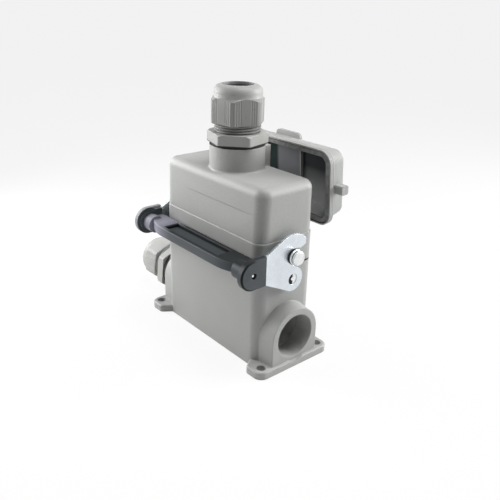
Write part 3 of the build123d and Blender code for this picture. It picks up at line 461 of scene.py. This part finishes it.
# a near-black copy of the nut's plastic: painted shade inside the end nut's mouth
MOUTH_DEEP_SHADE = moulded("mouth_deep_shade_plastic", (0.035, 0.036, 0.035), 0.50)
# a darker copy of the nut's grey: painted shade inside the upper nut's mouth
MOUTH_SHADE = moulded("mouth_shade_plastic", (0.230, 0.232, 0.226), 0.50)
COVER = cover_plastic("cover_plastic", (0.400, 0.408, 0.395))
INSERT = moulded("insert_plastic", (0.420, 0.410, 0.360), 0.38)
LEVER = lever_plastic("lever_plastic")
ZINC = plated_steel("zinc_plate")
# pegs: painted dark reflections in rings along the barrel; stud: painted shade on its shoulder and a shade crescent
# on its end; rivet: painted shade round a glint
PEG = turned_steel("peg_plate", ((0.0500, 0.0529), (0.0536, 0.0545), (0.0553, 0.0556)))
STUD = turned_steel("stud_plate", ((0.0465, 0.0500),), centre=(0.0, 0.0543), shade_rim=0.0009)
RIVET = turned_steel("rivet_plate", centre=(-0.0316, 0.0661), glint_spot=0.0006)
BLACK = rubber("black_rubber", (0.014, 0.014, 0.014))
GASKET = rubber("gasket_rubber", (0.21, 0.214, 0.21))
SILVER = silvered("contact_silver")

NODE_MATERIALS = {
    HOUSING: ("base_housing", "hood_housing"),
    GLAND: ("top_gland_body", "end_gland_body", "top_gland_nut", "end_gland_nut"),
    COVER: ("protective_cover",),
    INSERT: ("female_insert", "male_insert"),
    LEVER: ("lever_handle",),
    ZINC: (
        "lever_plate_left",
        "lever_plate_right",
        "cover_hinge_pin",
        "female_insert_screws",
        "male_insert_screws",
        "female_earth_clips",
        "male_earth_clips",
    ),
    PEG: ("hood_pegs",),
    STUD: ("lever_pivot_studs",),
    RIVET: ("lever_rivets",),
    BLACK: ("rim_seal", "top_gland_washer", "end_gland_washer", "top_gland_seal", "end_gland_seal"),
    GASKET: ("cover_gasket",),
    SILVER: ("female_contacts", "male_contacts"),
}
# the end nut's flanks take the painted-light dome copy, and both mouths take painted-shade copies
NUT_FLANKS = {"top": NUT, "end": DOME_LIT}
NUT_MOUTHS = {"top": MOUTH_SHADE, "end": MOUTH_DEEP_SHADE}


def dress_nodes():
    for material, names in NODE_MATERIALS.items():
        for name in names:
            for slot in nodes[name].material_slots:
                slot.material = material


# Meshes

def add_piece(name, mesh, material, body, smooth_angle=35):
    """Link a mesh as a piece that rides on a CAD body."""
    mesh.materials.append(material)
    piece = bpy.data.objects.new(name, mesh)
    bpy.context.scene.collection.objects.link(piece)
    for polygon in mesh.polygons:
        polygon.use_smooth = True
    mesh.set_sharp_from_angle(angle=math.radians(smooth_angle))
    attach(piece, body)
    return piece


def ring_point(place, radius, angle, height):
    """Point at an angle round an upright axis, from millimetres, put at its place in the part."""
    return place @ Vector((radius * math.cos(angle) * MM, radius * math.sin(angle) * MM, height * MM))


def polar_mesh(name, rows, steps, place):
    """Closed ring-shaped skin in millimetres: each row gives a radius and a height for every angle."""
    mesh = bpy.data.meshes.new(name)
    points = []
    for row in rows:
        for step in range(steps):
            angle = 2 * math.pi * step / steps
            radius, height = row(angle)
            points.append(ring_point(place, radius, angle, height))
    faces = []
    count = len(rows)
    for row in range(count):
        above = (row + 1) % count
        for step in range(steps):
            after = (step + 1) % steps
            faces.append((row * steps + step, row * steps + after, above * steps + after, above * steps + step))
    mesh.from_pydata(points, [], faces)
    mesh.update()
    return mesh


# Glands. Sizes in millimetres, as in the CAD model; a gland is drawn upright and then put at its entry.

ENTRY_PLACES = {
    "top": Matrix.Translation((0, 0, 122 * MM)),
    "end": Matrix.Translation((-56 * MM, 0, 19.3 * MM)) @ Matrix.Rotation(math.radians(-90), 4, "Y"),
}
WASHER_THICKNESS = {"top": 1.0, "end": 5.5}
NUT_TURNS = {"top": 9.7, "end": 8.0}
NUT_FOOT_RISE = {"top": 0.0, "end": 1.6}
HEXAGON_HEIGHT = 6.3
NECK_HEIGHT = 4.8
NECK_RADIUS = 12.9
NUT_FLATS = 28.2
NUT_CORNER_RADIUS = 15.7
NUT_HEXAGON_HEIGHT = 13.2
NUT_HEIGHT = 21.6
NUT_CONE_RISE = 1.7
NUT_BORE_GAP = 0.05
NUT_BORE_CHAMFER = 0.4
NUT_FOOT_EDGE = 0.5
NUT_FOOT_BEND = (0.12, 0.14)
CONE_EDGE_BENDS = (0.12, 0.1)
DOME_RADIUS = 14.0
DOME_CORNER = (3.4, 4.2)
DOME_LIP = 0.35
MOUTH_RADIUS = 9.1
MOUTH_LENGTH = 2.0
MOUTH_ROLL = 0.25
MOUTH_ROLL_MIDDLE = 0.07
RIB_PITCH = 1.35
RIB_DEPTH = 0.16
RIB_RUNOUT = (0.7, 0.25)
RIBBED_LENGTH = 5.4
DOME_STEPS = 8
NUT_STEPS = 1440
THREAD_PITCH = 1.6
THREAD_DEPTH = 0.75
THREAD_SECTION = ((-0.38, 0.0), (-0.12, 1.0), (0.12, 1.0), (0.38, 0.0), (0.0, -0.6))
THREAD_SINK = 0.1
THREAD_INTO_HEXAGON = 0.4
THREAD_OVER_NECK = 2.4
THREAD_FADES = 6
THREAD_STEPS = 96


def angle_off_flat(angle, turn):
    """Angle from the middle of the nearest of the nut's six flats."""
    return (angle - math.radians(turn)) % math.radians(60) - math.radians(30)


def nut_radius(angle, turn):
    """Radius of the six flats, cut off at the corners."""
    off_flat = angle_off_flat(angle, turn)
    return min(NUT_FLATS / 2 / math.cos(off_flat), NUT_CORNER_RADIUS)


def rib_depth(angle, turn):
    """Fine upright grooves on both sides of each corner; the middle of a flat stays smooth."""
    off_flat = angle_off_flat(angle, turn)
    from_corner = (math.radians(30) - abs(off_flat)) * NUT_CORNER_RADIUS
    if from_corner > RIBBED_LENGTH:
        return 0.0
    return RIB_DEPTH * (0.5 - 0.5 * math.cos(2 * math.pi * from_corner / RIB_PITCH))


def add_gland_nut(side):
    """Domed nut with grip ribs by its corners, a cone that cuts them off and a rolled mouth."""
    turn = NUT_TURNS[side]
    seat = WASHER_THICKNESS[side] + HEXAGON_HEIGHT + NECK_HEIGHT
    foot = seat + NUT_FOOT_RISE[side]
    shoulder = seat + NUT_HEXAGON_HEIGHT
    top = seat + NUT_HEIGHT
    inside = NECK_RADIUS + NUT_BORE_GAP

    def round_row(radius, height):
        return lambda angle: (radius, height)

    def flat_row(inset, height, ribs):
        return lambda angle: (nut_radius(angle, turn) - inset - ribs * rib_depth(angle, turn), height)

    def cone_row(drop, ribs):
        """The line where the cone meets the flats, lower at the corners."""
        def row(angle):
            radius = nut_radius(angle, turn)
            rise = NUT_CONE_RISE * (NUT_CORNER_RADIUS - radius) / (NUT_CORNER_RADIUS - DOME_RADIUS)
            return radius - ribs * rib_depth(angle, turn), shoulder + rise - drop
        return row

    rows = [
        round_row(inside, foot + NUT_BORE_CHAMFER),
        round_row(inside + NUT_BORE_CHAMFER, foot),
        flat_row(NUT_FOOT_EDGE, foot, 0),
        flat_row(NUT_FOOT_BEND[0], foot + NUT_FOOT_BEND[1], 0.4),
        flat_row(0, foot + NUT_FOOT_EDGE, 1),
        cone_row(RIB_RUNOUT[0], 1),
        cone_row(RIB_RUNOUT[1], 0.5),
        cone_row(0, 0),
        round_row(DOME_RADIUS + CONE_EDGE_BENDS[0], shoulder + NUT_CONE_RISE - CONE_EDGE_BENDS[0]),
        round_row(DOME_RADIUS, shoulder + NUT_CONE_RISE + CONE_EDGE_BENDS[1]),
    ]
    dome_row = len(rows) - 1
    for step in range(DOME_STEPS + 1):
        around = math.radians(90 * step / DOME_STEPS)
        rows.append(round_row(
            DOME_RADIUS - DOME_CORNER[0] * (1 - math.cos(around)),
            top - DOME_LIP - DOME_CORNER[1] * (1 - math.sin(around)),
        ))
    mouth_row = len(rows) + 1
    rows += [
        round_row(MOUTH_RADIUS + MOUTH_ROLL, top),
        round_row(MOUTH_RADIUS + MOUTH_ROLL_MIDDLE, top - MOUTH_ROLL_MIDDLE),
        round_row(MOUTH_RADIUS, top - MOUTH_ROLL),
        round_row(MOUTH_RADIUS, top - MOUTH_LENGTH),
        round_row(inside, shoulder + NUT_CONE_RISE),
    ]
    mesh = polar_mesh(f"{side}_ribbed_nut", rows, NUT_STEPS, ENTRY_PLACES[side])
    nut = add_piece(f"{side}_ribbed_nut", mesh, NUT_FLANKS[side], f"{side}_nut")
    for slot, (material, first_row) in enumerate(((DOME_LIT, dome_row), (NUT_MOUTHS[side], mouth_row)), 1):
        mesh.materials.append(material)
        for polygon in mesh.polygons[first_row * NUT_STEPS:]:
            polygon.material_index = slot
    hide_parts(f"{side}_gland_nut")


def add_neck_thread(side):
    """Coarse thread on the neck between the gland's hexagon and its nut, as one helical ridge."""
    bottom = WASHER_THICKNESS[side] + HEXAGON_HEIGHT - THREAD_INTO_HEXAGON
    turns = (NECK_HEIGHT + THREAD_OVER_NECK) / THREAD_PITCH
    steps = round(turns * THREAD_STEPS)
    mesh = bpy.data.meshes.new(f"{side}_neck_thread")
    points = []
    for step in range(steps + 1):
        angle = 2 * math.pi * turns * step / steps
        fade = min(1.0, THREAD_FADES * step / steps, THREAD_FADES * (steps - step) / steps)
        for along, out in THREAD_SECTION:
            radius = NECK_RADIUS - THREAD_SINK + THREAD_DEPTH * out * fade
            height = bottom + THREAD_PITCH * (turns * step / steps + along)
            points.append(ring_point(ENTRY_PLACES[side], radius, angle, height))
    count = len(THREAD_SECTION)
    faces = [tuple(range(count)), tuple(steps * count + corner for corner in reversed(range(count)))]
    for step in range(steps):
        for corner in range(count):
            after = (corner + 1) % count
            here, there = step * count, (step + 1) * count
            faces.append((here + corner, there + corner, there + after, here + after))
    mesh.from_pydata(points, [], faces)
    mesh.update()
    add_piece(f"{side}_neck_thread", mesh, THREAD_SHADED, "shell", 30)


# Camera, lights and floor. The camera was fitted to the photograph: angles in degrees, distances in metres, the
# shift to the right and upwards in metres at the part, and the focus in pixels of a picture 500 pixels wide.

MIDDLE = Vector((0, 0, 0.07))
CAMERA_AZIMUTH, CAMERA_PITCH, CAMERA_ROLL = 49.28, 23.30, 1.54
CAMERA_DISTANCE = 0.37004
CAMERA_SHIFT = (-0.00856, 0.01431)
CAMERA_FOCUS = 602.63
PHOTO_WIDTH = 500
SENSOR_WIDTH = 36.0
NEAREST_SEEN = 0.01


def add_camera():
    """Camera at the photograph's place."""
    azimuth, pitch, roll = (math.radians(value) for value in (CAMERA_AZIMUTH, CAMERA_PITCH, CAMERA_ROLL))
    back = Vector((math.sin(azimuth) * math.cos(pitch), -math.cos(azimuth) * math.cos(pitch), math.sin(pitch)))
    level = Vector((math.cos(azimuth), math.sin(azimuth), 0))
    upright = back.cross(level)
    right = math.cos(roll) * level + math.sin(roll) * upright
    up = -math.sin(roll) * level + math.cos(roll) * upright
    data = bpy.data.cameras.new("camera")
    data.sensor_width = SENSOR_WIDTH
    data.lens = CAMERA_FOCUS / PHOTO_WIDTH * SENSOR_WIDTH
    data.clip_start = NEAREST_SEEN
    camera = bpy.data.objects.new("camera", data)
    bpy.context.scene.collection.objects.link(camera)
    place = MIDDLE + back * CAMERA_DISTANCE - right * CAMERA_SHIFT[0] - up * CAMERA_SHIFT[1]
    camera.matrix_world = Matrix.Translation(place) @ Matrix((right, up, back)).transposed().to_4x4()
    bpy.context.scene.camera = camera


# Name, azimuth, elevation, distance, size and power: lights on both sides leave the corner towards the camera dark.
LIGHTS = (
    ("left_low", -155, 20, 0.35, 0.25, 1.21),
    ("left", -130, 20, 0.35, 0.25, 0.42),
    ("right", 60, 20, 0.60, 0.40, 4.0),
    ("top", 20, 75, 0.50, 0.30, 1.7),
)
WORLD_LIGHT = 0.05
BACKGROUND = 0.88
FLOOR_GLOW = 0.88
FLOOR_GREY = 0.80
FLOOR_HALF = 40.0
FLOOR_LEVEL = -0.0002


def add_area_light(name, azimuth, elevation, distance, size, power):
    """Round soft light aimed at the part's middle; azimuth in degrees from +X towards +Y."""
    data = bpy.data.lights.new(name, "AREA")
    data.shape = "DISK"
    data.size = size
    data.energy = power
    light = bpy.data.objects.new(name, data)
    bpy.context.scene.collection.objects.link(light)
    around, up = math.radians(azimuth), math.radians(elevation)
    towards = Vector((math.cos(around) * math.cos(up), math.sin(around) * math.cos(up), math.sin(up)))
    place = MIDDLE + towards * distance
    light.matrix_world = Matrix.Translation(place) @ towards.to_track_quat("Z", "Y").to_matrix().to_4x4()


def seen_ray_factor(tree):
    """1 for rays from the camera, mirrors and glass, 0 for the light that falls on the object."""
    rays = tree.nodes.new("ShaderNodeLightPath")
    seen = rays.outputs["Is Camera Ray"]
    for kind in ("Is Glossy Ray", "Is Transmission Ray"):
        either = tree.nodes.new("ShaderNodeMath")
        either.operation = "MAXIMUM"
        tree.links.new(seen, either.inputs[0])
        tree.links.new(rays.outputs[kind], either.inputs[1])
        seen = either.outputs[0]
    return seen


def mix_shaders(tree, factor, first, second, output):
    """Send a mix of two shaders to the tree's output node."""
    mix = tree.nodes.new("ShaderNodeMixShader")
    for source, socket in zip((factor, first, second), mix.inputs):
        tree.links.new(source, socket)
    tree.links.new(mix.outputs["Shader"], tree.nodes[output].inputs["Surface"])


def set_world():
    """Even studio light from all round; the background is seen nearly white."""
    world = bpy.data.worlds.new("studio")
    bpy.context.scene.world = world
    world.use_nodes = True
    tree = world.node_tree
    light = tree.nodes["Background"]
    light.inputs["Color"].default_value = (1, 1, 1, 1)
    light.inputs["Strength"].default_value = WORLD_LIGHT
    seen = tree.nodes.new("ShaderNodeBackground")
    seen.inputs["Color"].default_value = (BACKGROUND, BACKGROUND, BACKGROUND, 1)
    seen.inputs["Strength"].default_value = 1.0
    factor = seen_ray_factor(tree)
    mix_shaders(tree, factor, light.outputs["Background"], seen.outputs["Background"], "World Output")


def add_floor():
    """Pale floor that keeps a faint shadow and is otherwise seen white."""
    mesh = bpy.data.meshes.new("floor")
    corners = [(x * FLOOR_HALF, y * FLOOR_HALF, FLOOR_LEVEL) for x, y in ((-1, -1), (1, -1), (1, 1), (-1, 1))]
    mesh.from_pydata(corners, [], [(0, 1, 2, 3)])
    material = bpy.data.materials.new("floor")
    material.use_nodes = True
    tree = material.node_tree
    tree.nodes.remove(tree.nodes["Principled BSDF"])
    matt = tree.nodes.new("ShaderNodeBsdfDiffuse")
    matt.inputs["Color"].default_value = (FLOOR_GREY, FLOOR_GREY, FLOOR_GREY, 1)
    glow = tree.nodes.new("ShaderNodeEmission")
    glow.inputs["Color"].default_value = (1, 1, 1, 1)
    share = tree.nodes.new("ShaderNodeMath")
    share.operation = "MULTIPLY"
    share.inputs[1].default_value = FLOOR_GLOW
    tree.links.new(seen_ray_factor(tree), share.inputs[0])
    mix_shaders(tree, share.outputs[0], matt.outputs["BSDF"], glow.outputs["Emission"], "Material Output")
    mesh.materials.append(material)
    floor = bpy.data.objects.new("floor", mesh)
    bpy.context.scene.collection.objects.link(floor)


dress_nodes()
for gland_side in ENTRY_PLACES:
    add_gland_nut(gland_side)
    add_neck_thread(gland_side)
add_camera()
for light_values in LIGHTS:
    add_area_light(*light_values)
set_world()
add_floor()
bpy.context.scene.view_settings.view_transform = "Standard"
